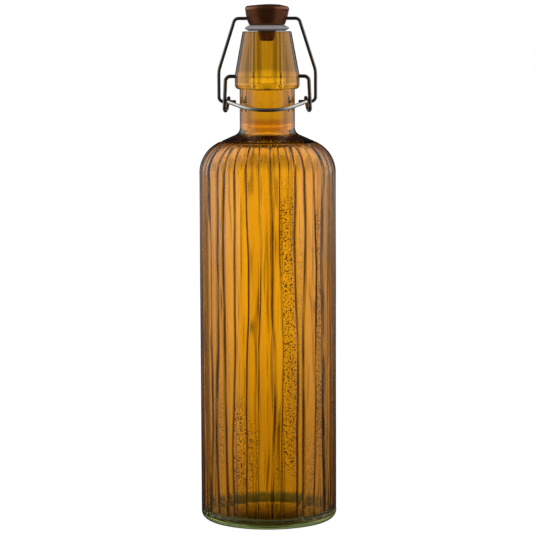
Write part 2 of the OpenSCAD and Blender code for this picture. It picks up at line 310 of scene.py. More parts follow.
def build_bottle():
    rings = Rings()
    first = flute_place[0]
    plain = even(PLAIN_COLUMNS, first)

    def smooth_ring(r, z, **kind):
        rings.add(plain, np.full(PLAIN_COLUMNS, r), z, **kind)

    # The underside: a shallow push-up, and the ring that it stands on
    dome_r = (FOOT_R**2 + PUNT_H**2) / (2 * PUNT_H)
    rings.add(np.zeros(1), np.zeros(1), PUNT_H, under=1.0)
    for r in np.linspace(0, FOOT_R, FLOOR_RINGS)[1:]:
        smooth_ring(r, PUNT_H - dome_r + math.sqrt(dome_r**2 - r * r), under=1.0)
    heel = (BODY_R - HEEL_R, HEEL_R)
    smooth_ring((FOOT_R + heel[0]) / 2, 0, under=0.5)
    for r, z in arc(heel, HEEL_R, -90, -8, 8):
        smooth_ring(r, z)

    # The fluted wall and shoulder, with its rows close together where the flutes begin
    turn = math.degrees(SHOULDER_ARC)
    low = [HEEL_R + d * MM for d in (0, 0.5, 0.9, 1.2, 1.5, 1.9, 2.4, 3.0, 3.7, 4.6, 6, 8, 10)]
    wall = low + list(np.linspace(low[-1], BODY_H, WALL_ROWS))[1:]
    rounded, above = shoulder(
        BODY_R, SHOULDER_R, SHOULDER_ARC, NECK_R, NECK_FILLET, COLLAR_Z, SHOULDER_ROWS
    )
    for z in wall:
        fade = smooth(FLUTE_FOOT - 0.6 * MM, FLUTE_FOOT + 0.4 * MM, z)
        angles, radii, grooves, peels = fluted_ring(BODY_R, z, fade)
        rings.add(angles, radii, z, grooves, peels, wobble=OUTER_WOBBLE * fade)
    for i, (r, z) in enumerate(rounded[1:]):
        turned = math.radians((i + 1) * turn / SHOULDER_ROWS)
        fade = 1 - smooth(FLUTE_ARC - FLUTE_ARC_FADE, FLUTE_ARC, turned)
        angles, radii, grooves, peels = fluted_ring(r, z, fade)
        rings.add(angles, radii, z, grooves, peels, wobble=OUTER_WOBBLE * fade)

    # The cone, the neck and the collar, up to the lip
    for r, z in above:
        smooth_ring(r, z)
    low_edge = (COLLAR_R - COLLAR_ROUND, COLLAR_Z + COLLAR_ROUND)
    for r, z in arc(low_edge, COLLAR_ROUND, -90, 0, 8):
        smooth_ring(r, z)
    band_top = (COLLAR_R, COLLAR_Z + BAND_H)
    lip = (LIP_R - LIP_ROUND, LIP_Z - LIP_ROUND)
    for r, z in line((COLLAR_R, low_edge[1]), band_top, 5) + line(band_top, (LIP_R, lip[1]), 14):
        smooth_ring(r, z)
    for r, z in arc(lip, LIP_ROUND, 0, 90, 6)[1:]:
        smooth_ring(r, z)

    # Down the bore into the throat, the shoulder and the body, to the floor
    for r, z in arc((BORE_R + BORE_ROUND, LIP_Z - BORE_ROUND), BORE_ROUND, 90, 180, 5):
        smooth_ring(r, z, skin=0.0)
    for r, z in line((BORE_R, LIP_Z - BORE_ROUND), (BORE_R, BORE_Z), 12):
        smooth_ring(r, z, skin=0.0)
    for t in np.radians(np.linspace(0, 90, FLARE_ROWS))[1:]:
        flared = BORE_R + (THROAT_R - BORE_R) * (1 - math.cos(t))
        smooth_ring(flared, BORE_Z - THROAT_DROP * math.sin(t), skin=0.0)
    rounded, above = shoulder(
        BODY_R - WALL, INNER_SHOULDER_R, SHOULDER_ARC, THROAT_R, NECK_FILLET + WALL,
        BORE_Z - THROAT_DROP, INNER_SHOULDER_ROWS,
    )
    for r, z in above[-2::-1]:
        smooth_ring(r, z, skin=0.0)
    for i, (r, z) in enumerate(rounded[::-1]):
        smooth_ring(r, z, skin=0.0, wobble=INNER_WOBBLE * i / INNER_SHOULDER_ROWS)
    inner_heel = (BODY_R - WALL - INNER_HEEL_R, FLOOR_T + INNER_HEEL_R)
    for r, z in line((BODY_R - WALL, BODY_H), (BODY_R - WALL, inner_heel[1]), INNER_WALL_ROWS):
        smooth_ring(r, z, skin=0.0, wobble=INNER_WOBBLE)
    for r, z in arc(inner_heel, INNER_HEEL_R, 0, -90, 10)[1:]:
        smooth_ring(r, z, skin=0.0, wobble=INNER_HEEL_WOBBLE * max(0, (z - FLOOR_T) / INNER_HEEL_R))
    for r in np.linspace(0, inner_heel[0], FLOOR_RINGS)[-2:0:-1]:
        dome = FLOOR_T + PUNT_H - dome_r + math.sqrt(dome_r**2 - r * r)
        smooth_ring(r, max(FLOOR_T, dome), skin=0.0, under=1.0)
    rings.add(np.zeros(1), np.zeros(1), FLOOR_T + PUNT_H, skin=0.0, under=1.0)
    return rings


def mesh_object(name, points, faces, marks=None):
    """A smooth mesh object; marks are named lists of one number or vector for each vertex."""
    mesh = bpy.data.meshes.new(name)
    mesh.from_pydata(points, [], faces)
    mesh.shade_smooth()
    for mark, values in (marks or {}).items():
        values = np.array(values, np.float32)
        kind, field = ("FLOAT", "value") if values.ndim == 1 else ("FLOAT_VECTOR", "vector")
        mesh.attributes.new(mark, kind, "POINT").data.foreach_set(field, values.ravel())
    made = bpy.data.objects.new(name, mesh)
    bpy.context.scene.collection.objects.link(made)
    return made


glass_rings = build_bottle()
bottle = mesh_object("bottle_glass", glass_rings.points, glass_rings.faces, glass_rings.marks)


def shader(tree, kind, inputs=None, **settings):
    """One shader node: its settings, and its inputs by name or number, as values or sockets."""
    made = tree.nodes.new("ShaderNode" + kind)
    for name, value in settings.items():
        setattr(made, name, value)
    for socket, value in (inputs or {}).items():
        if isinstance(value, bpy.types.NodeSocket):
            tree.links.new(value, made.inputs[socket])
        else:
            made.inputs[socket].default_value = value
    return made


def math_node(tree, operation, *values):
    return shader(tree, "Math", dict(enumerate(values)), operation=operation).outputs[0]


def new_material(name):
    made = bpy.data.materials.new(name)
    made.use_nodes = True
    made.node_tree.nodes.clear()
    return made, made.node_tree


def mix(tree, share, a, b, blend="MIX"):
    """Colour a where share is 0, and b where it is 1."""
    made = shader(tree, "Mix", data_type="RGBA", blend_type=blend)
    for name, value in (("A", a), ("B", b)):
        target = [s for s in made.inputs if s.name == name and s.type == "RGBA"][0]
        if isinstance(value, bpy.types.NodeSocket):
            tree.links.new(value, target)
        else:
            target.default_value = (*value, 1)
    if isinstance(share, bpy.types.NodeSocket):
        tree.links.new(share, made.inputs[0])
    else:
        made.inputs[0].default_value = share
    return [s for s in made.outputs if s.type == "RGBA"][0]


def ease(tree, value, low, high):
    """0 where value is low, 1 where it is high, and a smooth change between; low may be the larger."""
    steps = {"Value": value, "From Min": low, "From Max": high}
    return shader(tree, "MapRange", steps, interpolation_type="SMOOTHSTEP").outputs["Result"]


def fine_grain_group():
    """The grain in all the finishes: its noise, and the patches where that rises from Low to High."""
    group = bpy.data.node_groups.new("fine_grain", "ShaderNodeTree")
    for name in ("Place", "Cells"):
        group.interface.new_socket(name, in_out="INPUT", socket_type="NodeSocketVector")
    for name in ("Detail", "Low", "High"):
        group.interface.new_socket(name, in_out="INPUT", socket_type="NodeSocketFloat")
    for name in ("Grain", "Patches"):
        group.interface.new_socket(name, in_out="OUTPUT", socket_type="NodeSocketFloat")
    given = group.nodes.new("NodeGroupInput").outputs
    cell = shader(group, "VectorMath", {0: given["Place"], 1: given["Cells"]}, operation="MULTIPLY")
    speckle = shader(
        group, "TexNoise", {"Vector": cell.outputs["Vector"], "Scale": 1.0, "Detail": given["Detail"]}
    ).outputs["Fac"]
    result = group.nodes.new("NodeGroupOutput").inputs
    group.links.new(speckle, result["Grain"])
    group.links.new(ease(group, speckle, given["Low"], given["High"]), result["Patches"])
    return group


FINE_GRAIN = fine_grain_group()


def grain(tree, place, cells, detail, low=0.0, high=1.0):
    """The shared grain placed in a material: cells to a metre along each axis, and its detail."""
    given = {"Place": place, "Cells": cells, "Detail": detail, "Low": low, "High": high}
    return shader(tree, "Group", given, node_tree=FINE_GRAIN).outputs


def glass_material():
    material, tree = new_material("amber_coated_glass")
    place = shader(tree, "TexCoord").outputs["Object"]

    def mark(name):
        return shader(tree, "Attribute", attribute_name=name).outputs["Fac"]

    # The coat pools in the grooves and in the pits of the orange-peel skin, and runs in thin lines
    parts = shader(tree, "SeparateXYZ", {0: place})
    height = parts.outputs["Z"]
    specks = grain(tree, place, PIT_CELLS, 2.0, 0.5, 0.6)
    pits = math_node(tree, "MULTIPLY", specks["Patches"], mark("peel"))
    wisps = grain(tree, place, WISP_CELLS, 1.0, 0.1, 0.45)
    runs = math_node(tree, "MULTIPLY", ease(tree, mark("groove"), 0.0, 0.65), wisps["Patches"])
    thin_lines = ease(tree, wisps["Grain"], 0.60, 0.68)
    thin_lines = math_node(tree, "MULTIPLY", thin_lines, ease(tree, height, SHADE_BAND_HIGH, BODY_H))
    thin_lines = math_node(tree, "MULTIPLY", thin_lines, THIN_LINE_DEPTH)
    pooled_and_shade = math_node(tree, "MAXIMUM", math_node(tree, "MAXIMUM", runs, thin_lines), pits)

    # A band of painted shade round the top of the shoulder, whose lower edge is streaked
    lean = math_node(tree, "MULTIPLY_ADD", parts.outputs["Y"], SHADE_BAND_LEAN, height)
    off_middle = math_node(tree, "SUBTRACT", wisps["Grain"], 0.5)
    streaked = math_node(tree, "MULTIPLY_ADD", off_middle, SHADE_BAND_RAGGED, lean)
    shade_band_start = ease(tree, streaked, SHADE_BAND_LOW, SHADE_BAND_LOW + SHADE_BAND_LOW_FADE)
    band = math_node(
        tree, "MULTIPLY", shade_band_start, ease(tree, lean, SHADE_BAND_HIGH + SHADE_BAND_HIGH_FADE, SHADE_BAND_HIGH)
    )
    pooled_and_shade = math_node(tree, "MINIMUM", math_node(tree, "MAXIMUM", pooled_and_shade, band), 1.0)

    # Its thickness elsewhere, and painted shade at the root of the neck
    tone = grain(tree, place, TONE_CELLS, 2.0, 0.48, 0.66)["Patches"]
    coat_depth_and_shade = math_node(tree, "MULTIPLY", tone, TONE_DEPTH)
    coat_depth_and_shade = math_node(tree, "MULTIPLY_ADD", ease(tree, height, BODY_H / 2, 0.0), FOOT_DEPTH, coat_depth_and_shade)
    root_shade_start = ease(tree, height, ROOT_SHADE_LOW, ROOT_SHADE_LOW + ROOT_SHADE_FADE)
    root_shade_end = ease(tree, height, ROOT_SHADE_HIGH, ROOT_SHADE_HIGH - ROOT_SHADE_FADE)
    coat_depth_and_shade = math_node(tree, "ADD", coat_depth_and_shade, math_node(tree, "MULTIPLY", root_shade_start, root_shade_end))
    amber = mix(tree, coat_depth_and_shade, AMBER, AMBER_DEEP_AND_SHADE)
    # Painted sheen as the surface turns a little from the eye, and at a steep slant a painted dark edge
    # with a bluish painted reflection
    facing = shader(tree, "LayerWeight", {"Blend": 0.5}).outputs["Facing"]
    amber = mix(tree, ease(tree, facing, 0.0, 0.3), amber, AMBER_PAINTED_SHEEN)
    # The pooled coat's colour, which also paints the shade band
    amber = mix(tree, pooled_and_shade, amber, AMBER_POOLED_AND_SHADE)
    amber = mix(tree, ease(tree, facing, 0.35, 0.75), amber, AMBER_SLANT_SHADE_AND_REFLECTION, "MULTIPLY")

    # The bare foot below the coat's ragged edge, with painted shade where light leaves it, the
    # underside and the uncoated inside; painted shade darkens the underside and the inside floor
    leaving = shader(tree, "NewGeometry").outputs["Backfacing"]
    foot = mix(tree, leaving, GREEN, GREEN_SHADED)
    foot = mix(tree, mark("under"), foot, UNDERSIDE_SHADE)
    ragged = grain(tree, place, EDGE_CELLS, 2.0)["Grain"]
    edge = math_node(tree, "MULTIPLY_ADD", ragged, AMBER_EDGE_RAGGED, height)
    outside = mix(tree, ease(tree, edge, AMBER_EDGE, AMBER_EDGE + AMBER_EDGE_FADE), foot, amber)
    inside = mix(tree, mark("under"), CLEAR, FLOOR_GREEN_SHADE)
    colour = mix(tree, mark("skin"), inside, outside)
    stippled = math_node(tree, "MULTIPLY", mark("under"), mark("skin"))
    peel = math_node(tree, "MULTIPLY", specks["Grain"], mark("peel"))
    bump = shader(tree, "Bump", {"Height": peel, "Strength": 1.0, "Distance": PEEL_HEIGHT})
    principled = shader(
        tree, "BsdfPrincipled",
        {
            "Base Color": colour,
            "Roughness": math_node(tree, "MULTIPLY", stippled, UNDERSIDE_ROUGHNESS),
            "IOR": GLASS_IOR,
            "Transmission Weight": 1.0,
            "Normal": bump.outputs[0],
        },
    )
    volume = shader(tree, "VolumeAbsorption", {"Color": (*GLASS_COLOUR, 1), "Density": GLASS_DENSITY})
    shader(tree, "OutputMaterial", {"Surface": principled.outputs[0], "Volume": volume.outputs[0]})
    return material


bottle.data.materials.append(glass_material())
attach(bottle, "bottle")
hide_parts("bottle")


# ---- Stopper -----------------------------------------------------------------------------------
# The stopper is one dark red-brown head under a thin, coppery glaze. It widens upwards in a bowed
# side to a round rim and a shallow dome, carries a short spigot below, and is bored through for the
# bail's bar. A turned mesh, a little uneven as glazed, with the bore cut out.
STOPPER_TOP_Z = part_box("stopper")[1].z
HEAD_Z = STOPPER_TOP_Z - 13.1 * MM
GASKET_Z = HEAD_Z - 3.5 * MM
RIM_R = 13.8 * MM
RIM_ROUND = 1.9 * MM
RIM_START = -30
HEAD_FOOT_R = 10.8 * MM
HEAD_SIDE_R = 28 * MM
DOME_H = 1.1 * MM
SPIGOT_R = 5.8 * MM
SPIGOT_TIP_R = 4.8 * MM
SPIGOT_L = 7.2 * MM
SPIGOT_ROUND = 1.6 * MM
BAR_Z = HEAD_Z + 4.3 * MM
BAR_HOLE_R = 1.13 * MM
BAR_HOLE_CREASE = math.radians(40)
TURNED_COLUMNS = 96
ROD_COLUMNS = 32
UNEVEN_SIZE = 0.35 * MM
UNEVEN_LENGTH = 9 * MM
UNEVEN_SEED = 36

STOPPER_BROWN = (0.21, 0.068, 0.024)
STOPPER_DARK = (0.06, 0.013, 0.004)
STOPPER_DARK_SHARE = 0.25
MOTTLE_CELLS = (240.0, 240.0, 240.0)
GLAZE_PIT_CELLS = (900.0, 900.0, 900.0)
GLAZE_PIT_HEIGHT = 0.012 * MM


def lathe(profile, columns, closed=False):
    """Rings for a profile of (radius, height) points; closed joins the last point to the first."""
    rings = Rings()
    for r, z in profile:
        count = 1 if r == 0 else columns
        rings.add(even(count), np.full(count, r), z)
    if closed:
        rings.join(*rings.last, 0, columns)
    return rings


def uneven(points, size, length, low):
    """The points, moved by up to about size in slow waves of this length where they lie above low."""
    noise.seed_set(UNEVEN_SEED)
    moved = []
    for p in points:
        share = size * float(smooth(low, low + 1 * MM, p[2]))
        moved.append(tuple(Vector(p) + share * noise.noise_vector(Vector(p) / length)))
    return moved


def stopper_profile():
    tip = (SPIGOT_TIP_R - SPIGOT_ROUND, GASKET_Z - SPIGOT_L + SPIGOT_ROUND)
    points = [(0, tip[1] - SPIGOT_ROUND)] + arc(tip, SPIGOT_ROUND, -90, 0, 6)
    points += line((SPIGOT_TIP_R, tip[1]), (SPIGOT_R, GASKET_Z), 4)
    points += line((SPIGOT_R, GASKET_Z), (SPIGOT_R, HEAD_Z), 2)
    points += line((SPIGOT_R, HEAD_Z), (HEAD_FOOT_R, HEAD_Z), 3)
    rim = np.array([RIM_R - RIM_ROUND, STOPPER_TOP_Z - DOME_H - RIM_ROUND])
    start = math.radians(RIM_START)
    lip = rim + RIM_ROUND * np.array([math.cos(start), math.sin(start)])
    foot = np.array([HEAD_FOOT_R, HEAD_Z])
    chord = lip - foot
    out = np.array([chord[1], -chord[0]]) / np.linalg.norm(chord)
    centre = (lip + foot) / 2 - out * math.sqrt(HEAD_SIDE_R**2 - chord @ chord / 4)
    angles = [math.degrees(math.atan2(*(p - centre)[::-1])) for p in (foot, lip)]
    points += arc(tuple(centre), HEAD_SIDE_R, *angles, 14)[1:]
    points += arc(tuple(rim), RIM_ROUND, RIM_START, 90, 12)[1:]
    dome_r = (rim[0] ** 2 + DOME_H**2) / (2 * DOME_H)
    for r in np.linspace(rim[0], 0, 9)[1:-1]:
        points.append((r, STOPPER_TOP_Z - dome_r + math.sqrt(dome_r**2 - r * r)))
    return points + [(0, STOPPER_TOP_Z)]


def cross_rod(radius, low, high, z, marks):
    """A closed rod along X, from low to high, at the height z."""
    rod = lathe([(0, low), (radius, low), (radius, high), (0, high)], ROD_COLUMNS)
    points = [(p[2], p[0], p[1] + z) for p in rod.points]
    return mesh_object("rod", points, rod.faces, {mark: [0.0] * len(points) for mark in marks})


def cut(piece, cutter, crease):
    """Takes the cutter out of the piece and the scene; edges that turn by more than crease stay sharp."""
    step = piece.modifiers.new("cut", "BOOLEAN")
    step.operation = "DIFFERENCE"
    step.solver = "EXACT"
    step.object = cutter
    seen_from = bpy.context.evaluated_depsgraph_get()
    whole = piece.data
    piece.data = bpy.data.meshes.new_from_object(piece.evaluated_get(seen_from))
    piece.modifiers.clear()
    piece.data.set_sharp_from_angle(angle=crease)
    bpy.data.objects.remove(cutter)
    bpy.data.meshes.remove(whole)


def stopper_material():
    material, tree = new_material("brown_lustre")
    place = shader(tree, "TexCoord").outputs["Object"]
    clouds = grain(tree, place, MOTTLE_CELLS, 3.0, 0.35, 0.7)["Patches"]
    clouds = math_node(tree, "MULTIPLY", clouds, STOPPER_DARK_SHARE)
    colour = mix(tree, clouds, STOPPER_BROWN, STOPPER_DARK)
    pits = grain(tree, place, GLAZE_PIT_CELLS, 2.0)["Grain"]
    bump = shader(tree, "Bump", {"Height": pits, "Strength": 1.0, "Distance": GLAZE_PIT_HEIGHT})
    principled = shader(
        tree, "BsdfPrincipled",
        {
            "Base Color": colour,
            "Metallic": 0.8,
            "Roughness": 0.3,
            "Normal": bump.outputs[0],
        },
    )
    shader(tree, "OutputMaterial", {"Surface": principled.outputs[0]})
    return material


stopper_rings = lathe(stopper_profile(), TURNED_COLUMNS)
stopper_points = uneven(stopper_rings.points, UNEVEN_SIZE, UNEVEN_LENGTH, HEAD_Z)
stopper = mesh_object("stopper_head", stopper_points, stopper_rings.faces)
cut(stopper, cross_rod(BAR_HOLE_R, -RIM_R, RIM_R, BAR_Z, []), BAR_HOLE_CREASE)
stopper.data.materials.append(stopper_material())
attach(stopper, "stopper")
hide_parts("stopper")


# ---- Gasket ------------------------------------------------------------------------------------
# A soft grey rubber ring, bevelled above and below to a narrow edge, that the stopper presses onto
# the lip. Moulded in two halves, so a fine flash line runs round its edge. A closed turned mesh.
GASKET_R = 13.75 * MM
GASKET_T = 3.5 * MM
GASKET_BEVEL = 2.3 * MM
GASKET_LAND = 0.9 * MM
GASKET_HOLE_R = 5.9 * MM
FLASH_H = 0.12 * MM
RUBBER_GREY = (0.56, 0.54, 0.575)
RUBBER_DARK = tuple(0.82 * c for c in RUBBER_GREY)
RUBBER_CELLS = (420.0, 420.0, 420.0)
RUBBER_ROUGH_HEIGHT = 0.04 * MM


def bent_route(corners, bends):
    """Points along a line through the corners, each rounded to its radius in bends."""
    places = [Vector(corner) for corner in corners]
    points = [places[0]]
    for i in range(1, len(places) - 1):
        before = (places[i] - places[i - 1]).normalized()
        after = (places[i + 1] - places[i]).normalized()
        angle = before.angle(after)
        centre = places[i] + (after - before).normalized() * bends[i] / math.cos(angle / 2)
        start = places[i] - before * bends[i] * math.tan(angle / 2) - centre
        axis = before.cross(after).normalized()
        steps = max(3, math.ceil(math.degrees(angle) / 6))
        points += [centre + Matrix.Rotation(angle * s / steps, 3, axis) @ start for s in range(steps + 1)]
    return points + [places[-1]]


def gasket_profile():
    middle = GASKET_Z + GASKET_T / 2
    flat = GASKET_R - GASKET_BEVEL
    land = GASKET_LAND / 2
    corners = [
        (GASKET_HOLE_R, 0, middle), (GASKET_HOLE_R, 0, GASKET_Z), (flat, 0, GASKET_Z),
        (GASKET_R, 0, middle - land), (GASKET_R + FLASH_H, 0, middle), (GASKET_R, 0, middle + land),
        (flat, 0, HEAD_Z), (GASKET_HOLE_R, 0, HEAD_Z), (GASKET_HOLE_R, 0, middle),
    ]
    soft = [0, 0.3 * MM, 1.2 * MM, 0.25 * MM, 0.1 * MM, 0.25 * MM, 1.2 * MM, 0.3 * MM, 0]
    return [(p.x, p.z) for p in bent_route(corners, soft)[:-1]]


def gasket_material():
    material, tree = new_material("grey_rubber")
    place = shader(tree, "TexCoord").outputs["Object"]
    dust = grain(tree, place, RUBBER_CELLS, 4.0)["Grain"]
    colour = mix(tree, dust, RUBBER_GREY, RUBBER_DARK)
    bump = shader(tree, "Bump", {"Height": dust, "Strength": 1.0, "Distance": RUBBER_ROUGH_HEIGHT})
    principled = shader(
        tree, "BsdfPrincipled",
        {"Base Color": colour, "Roughness": 0.55, "Normal": bump.outputs[0], "Specular IOR Level": 0.3},
    )
    shader(tree, "OutputMaterial", {"Surface": principled.outputs[0]})
    return material


gasket_rings = lathe(gasket_profile(), TURNED_COLUMNS, closed=True)
gasket = mesh_object("gasket_ring", gasket_rings.points, gasket_rings.faces)
gasket.data.materials.append(gasket_material())
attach(gasket, "stopper")
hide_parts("gasket")


# ---- Bail wire ---------------------------------------------------------------------------------
# One length of round steel wire with a black finish, bent into the bail: a bar through the stopper,
# two arms that spread and then run upright, and two hooks that turn inwards behind the lever. Its
# finish is almost whole. A tube along the wire's middle line.
BAIL_D = 2.1 * MM
BAIL_HALF_W = 30.3 * MM
BAR_HALF_W = 20 * MM
BAIL_UPRIGHT = 19.5 * MM
HOOK_END = 19.6 * MM
BAIL_BEND = 3 * MM
ARM_BEND = 15 * MM
LEVER_D = 2.3 * MM
WIRE_CLEARANCE = 0.15 * MM
PIVOT_Z = COLLAR_Z + 8 * MM
HOOK_Z = PIVOT_Z - 15.9 * MM
HOOK_GAP = (BAIL_D + LEVER_D) / 2 + WIRE_CLEARANCE
BAIL_LEAN = math.atan(HOOK_GAP / (BAR_Z - HOOK_Z))
BAIL_REACH = math.hypot(HOOK_GAP, BAR_Z - HOOK_Z)
WIRE_SIDES = 20
WIRE_STEP = 2 * MM
WIRE_CHAMFER = 0.3 * MM
WIRE_CREASE = math.radians(40)

WIRE_BLACK = (0.22, 0.21, 0.19)
WIRE_STEEL = (0.66, 0.63, 0.58)
WIRE_WEAR = 0.02
DRAWN_CELLS = (4000.0, 4000.0, 90.0)
WEAR_CELLS = (500.0, 500.0, 500.0)
DRAWN_LINE_HEIGHT = 0.012 * MM


def mirrored(corners):
    """The mirror images of one side's corners, from the middle out to the other end."""
    return [(-x, y, z) for x, y, z in reversed(corners)]


def wire_object(name, route, diameter, worn):
    """A closed tube along the route. The mark wire_place unrolls its surface; worn is the finish lost."""
    points = [route[0]]
    for a, b in zip(route, route[1:]):
        steps = max(1, round((b - a).length / WIRE_STEP))
        points += [a + (b - a) * s / steps for s in range(1, steps + 1)]
    first, last = (points[1] - points[0]).normalized(), (points[-1] - points[-2]).normalized()
    start, end = points[0] + first * WIRE_CHAMFER, points[-1] - last * WIRE_CHAMFER
    points = [points[0], start, *points[1:-1], end, points[-1]]
    side = first.orthogonal().normalized()
    vertices, faces, places, wear = [points[0]], [], [(0, 0, 0)], [worn(points[0])]
    run = 0.0
    for i, p in enumerate(points):
        ahead = (points[min(i + 1, len(points) - 1)] - points[max(i - 1, 0)]).normalized()
        side = (side - ahead * side.dot(ahead)).normalized()
        across = ahead.cross(side)
        run += (p - points[i - 1]).length if i else 0
        radius = diameter / 2 - (WIRE_CHAMFER if i in (0, len(points) - 1) else 0)
        for k in range(WIRE_SIDES):
            turn = 2 * math.pi * k / WIRE_SIDES
            c, s = math.cos(turn), math.sin(turn)
            vertices.append(p + radius * (c * side + s * across))
            places.append((c * diameter / 2, s * diameter / 2, run))
            wear.append(worn(p))
    vertices.append(points[-1])
    places.append((0, 0, run))
    wear.append(worn(points[-1]))
    for i in range(len(points) - 1):
        for k in range(WIRE_SIDES):
            a, b = 1 + i * WIRE_SIDES + k, 1 + i * WIRE_SIDES + (k + 1) % WIRE_SIDES
            faces.append((a, b, b + WIRE_SIDES, a + WIRE_SIDES))
    last_ring = 1 + (len(points) - 1) * WIRE_SIDES
    for k in range(WIRE_SIDES):
        after = (k + 1) % WIRE_SIDES
        faces.append((0, 1 + after, 1 + k))
        faces.append((len(vertices) - 1, last_ring + k, last_ring + after))
    made = mesh_object(name, vertices, faces, {"wire_place": places, "worn": wear})
    made.data.set_sharp_from_angle(angle=WIRE_CREASE)
    return made


def wire_material():
    material, tree = new_material("black_steel_wire")
    drawn = shader(tree, "Attribute", attribute_name="wire_place").outputs["Vector"]
    worn = shader(tree, "Attribute", attribute_name="worn").outputs["Fac"]
    lines = grain(tree, drawn, DRAWN_CELLS, 2.0)["Grain"]
    patches = grain(tree, drawn, WEAR_CELLS, 4.0)["Grain"]
    ragged = math_node(tree, "MULTIPLY_ADD", patches, 0.7, math_node(tree, "SUBTRACT", worn, 0.35))
    colour = mix(tree, ease(tree, ragged, 0.35, 0.75), WIRE_BLACK, WIRE_STEEL)
    rough = math_node(tree, "MULTIPLY_ADD", lines, 0.16, 0.2)
    bump = shader(tree, "Bump", {"Height": lines, "Strength": 1.0, "Distance": DRAWN_LINE_HEIGHT})
    principled = shader(
        tree, "BsdfPrincipled",
        {"Base Color": colour, "Metallic": 1.0, "Roughness": rough, "Normal": bump.outputs[0]},
    )
    shader(tree, "OutputMaterial", {"Surface": principled.outputs[0]})
    return material


bail_side = [
    (HOOK_END, 0, 0), (BAIL_HALF_W, 0, 0),
    (BAIL_HALF_W, 0, BAIL_UPRIGHT), (BAR_HALF_W, 0, BAIL_REACH),
]
bail_bends = [0, BAIL_BEND, ARM_BEND, BAIL_BEND]
bail_stand = Matrix.Translation((0, HOOK_GAP, HOOK_Z)) @ Matrix.Rotation(BAIL_LEAN, 4, "X")
bail_line = bent_route(bail_side + mirrored(bail_side), bail_bends + bail_bends[::-1])
bail = wire_object(
    "bail_bent_wire", [bail_stand @ p for p in bail_line], BAIL_D, lambda p: WIRE_WEAR
)
black_wire = wire_material()
bail.data.materials.append(black_wire)
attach(bail, "bail")
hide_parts("bail_wire")


# ---- Lever wire --------------------------------------------------------------------------------
# A slightly thicker wire of the same kind is the lever. Its ends turn inwards into the collar's
# dimples, its arms run down to two eyes that hold the bail's hooks, and its bow crosses in front of
# the neck. Thumbs have rubbed the bow bright. A tube along the wire's middle line.
LEVER_HALF_W = 26 * MM
EYE_HALF_W = 27 * MM
EYE_Z = HOOK_Z - 5.6 * MM
LEVER_BEND = 3 * MM
BOW_SLOPE = math.radians(18.6)
BOW_R = 24 * MM
BOW_FLARE = math.radians(44)
BOW_CLEARANCE = 0.5 * MM
DIMPLE_FLOOR = COLLAR_R - 3.4 * MM
LEVER_END = DIMPLE_FLOOR + 0.3 * MM
DIMPLE_R = LEVER_D / 2 + 0.08 * MM
DIMPLE_CREASE = math.radians(60)
# How far in front of the bottle's axis the wear starts, and where it is complete
WEAR_START = -1 * MM
WEAR_FULL = 8 * MM

eye_top_z = HOOK_Z + HOOK_GAP * math.tan((math.pi / 2 + BOW_SLOPE) / 2)
arm_lean = (EYE_HALF_W - LEVER_HALF_W) / (PIVOT_Z - EYE_Z)
bow_x = EYE_HALF_W - arm_lean * (eye_top_z - EYE_Z) - LEVER_D - WIRE_CLEARANCE
bow_tip_run = (NECK_R + BOW_CLEARANCE + LEVER_D / 2) / math.cos(BOW_SLOPE)
bow_tip_run += BOW_R * (1 / math.sin(BOW_FLARE) - 1)


def bow_point(x, run):
    """A point of the bow, from its distance down the slope in front of the bottle's axis."""
    forward = run * math.cos(BOW_SLOPE)
    return (x, -forward, eye_top_z - (2 * HOOK_GAP + forward) * math.tan(BOW_SLOPE))


lever_side = [
    (LEVER_END, 0, PIVOT_Z), (LEVER_HALF_W, 0, PIVOT_Z), (EYE_HALF_W, 0, EYE_Z),
    ((EYE_HALF_W + bow_x) / 2, 2 * HOOK_GAP, EYE_Z), (bow_x, 2 * HOOK_GAP, eye_top_z),
    bow_point(bow_x, bow_tip_run - bow_x / math.tan(BOW_FLARE)),
]
lever_bends = [0, LEVER_BEND, HOOK_GAP, HOOK_GAP, HOOK_GAP, LEVER_BEND]
lever_line = bent_route(
    lever_side + [bow_point(0, bow_tip_run)] + mirrored(lever_side),
    lever_bends + [BOW_R] + lever_bends[::-1],
)


def bow_wear(p):
    return WIRE_WEAR + (1 - WIRE_WEAR) * float(smooth(WEAR_START, WEAR_FULL, -p.y))


lever = wire_object("lever_bent_wire", lever_line, LEVER_D, bow_wear)
lever.data.materials.append(black_wire)
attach(lever, "lever")
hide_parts("lever_wire")
for side in (-1, 1):
    reach = sorted((side * DIMPLE_FLOOR, side * (COLLAR_R + 1 * MM)))
    cut(bottle, cross_rod(DIMPLE_R, *reach, PIVOT_Z, glass_rings.marks), DIMPLE_CREASE)


# ---- Studio ------------------------------------------------------------------------------------
# A pale floor in a white room. The room lights the glass by what is seen through it and by what its
# surfaces mirror, and a shade on the floor keeps the thick base dark. The camera stands level with
# the lip and looks slightly down.
CAMERA_DISTANCE = 1.40
CAMERA_HEIGHT = 0.308
CAMERA_TILT = math.radians(6.05)
CAMERA_ROLL = math.radians(-0.25)
CAMERA_LENS = 149.7
FLOOR_SIZE = 12.0
FLOOR_DROP = 0.2 * MM
SHADE_R = 80 * MM
SHADE_DARK = 0.03
SHADE_LIGHT = 0.8
FLOOR_GLOW = 0.97
FLOOR_GREY = 0.15
ROOM_GREY = 0.55
PANELS_ROUND = 8.0

bpy.ops.mesh.primitive_plane_add(size=FLOOR_SIZE, location=(0, 0, -FLOOR_DROP))
floor = bpy.context.object
floor.name = "floor"
floor.visible_transmission = False
floor.visible_glossy = False
floor.visible_diffuse = False
floor_material, tree = new_material("pale_floor")
glow = shader(tree, "Emission", {"Color": (1, 1, 1, 1), "Strength": FLOOR_GLOW})
matt = shader(tree, "BsdfDiffuse", {"Color": (FLOOR_GREY, FLOOR_GREY, FLOOR_GREY, 1)})
both = shader(tree, "AddShader", {0: glow.outputs[0], 1: matt.outputs[0]})
shader(tree, "OutputMaterial", {"Surface": both.outputs[0]})
floor.data.materials.append(floor_material)

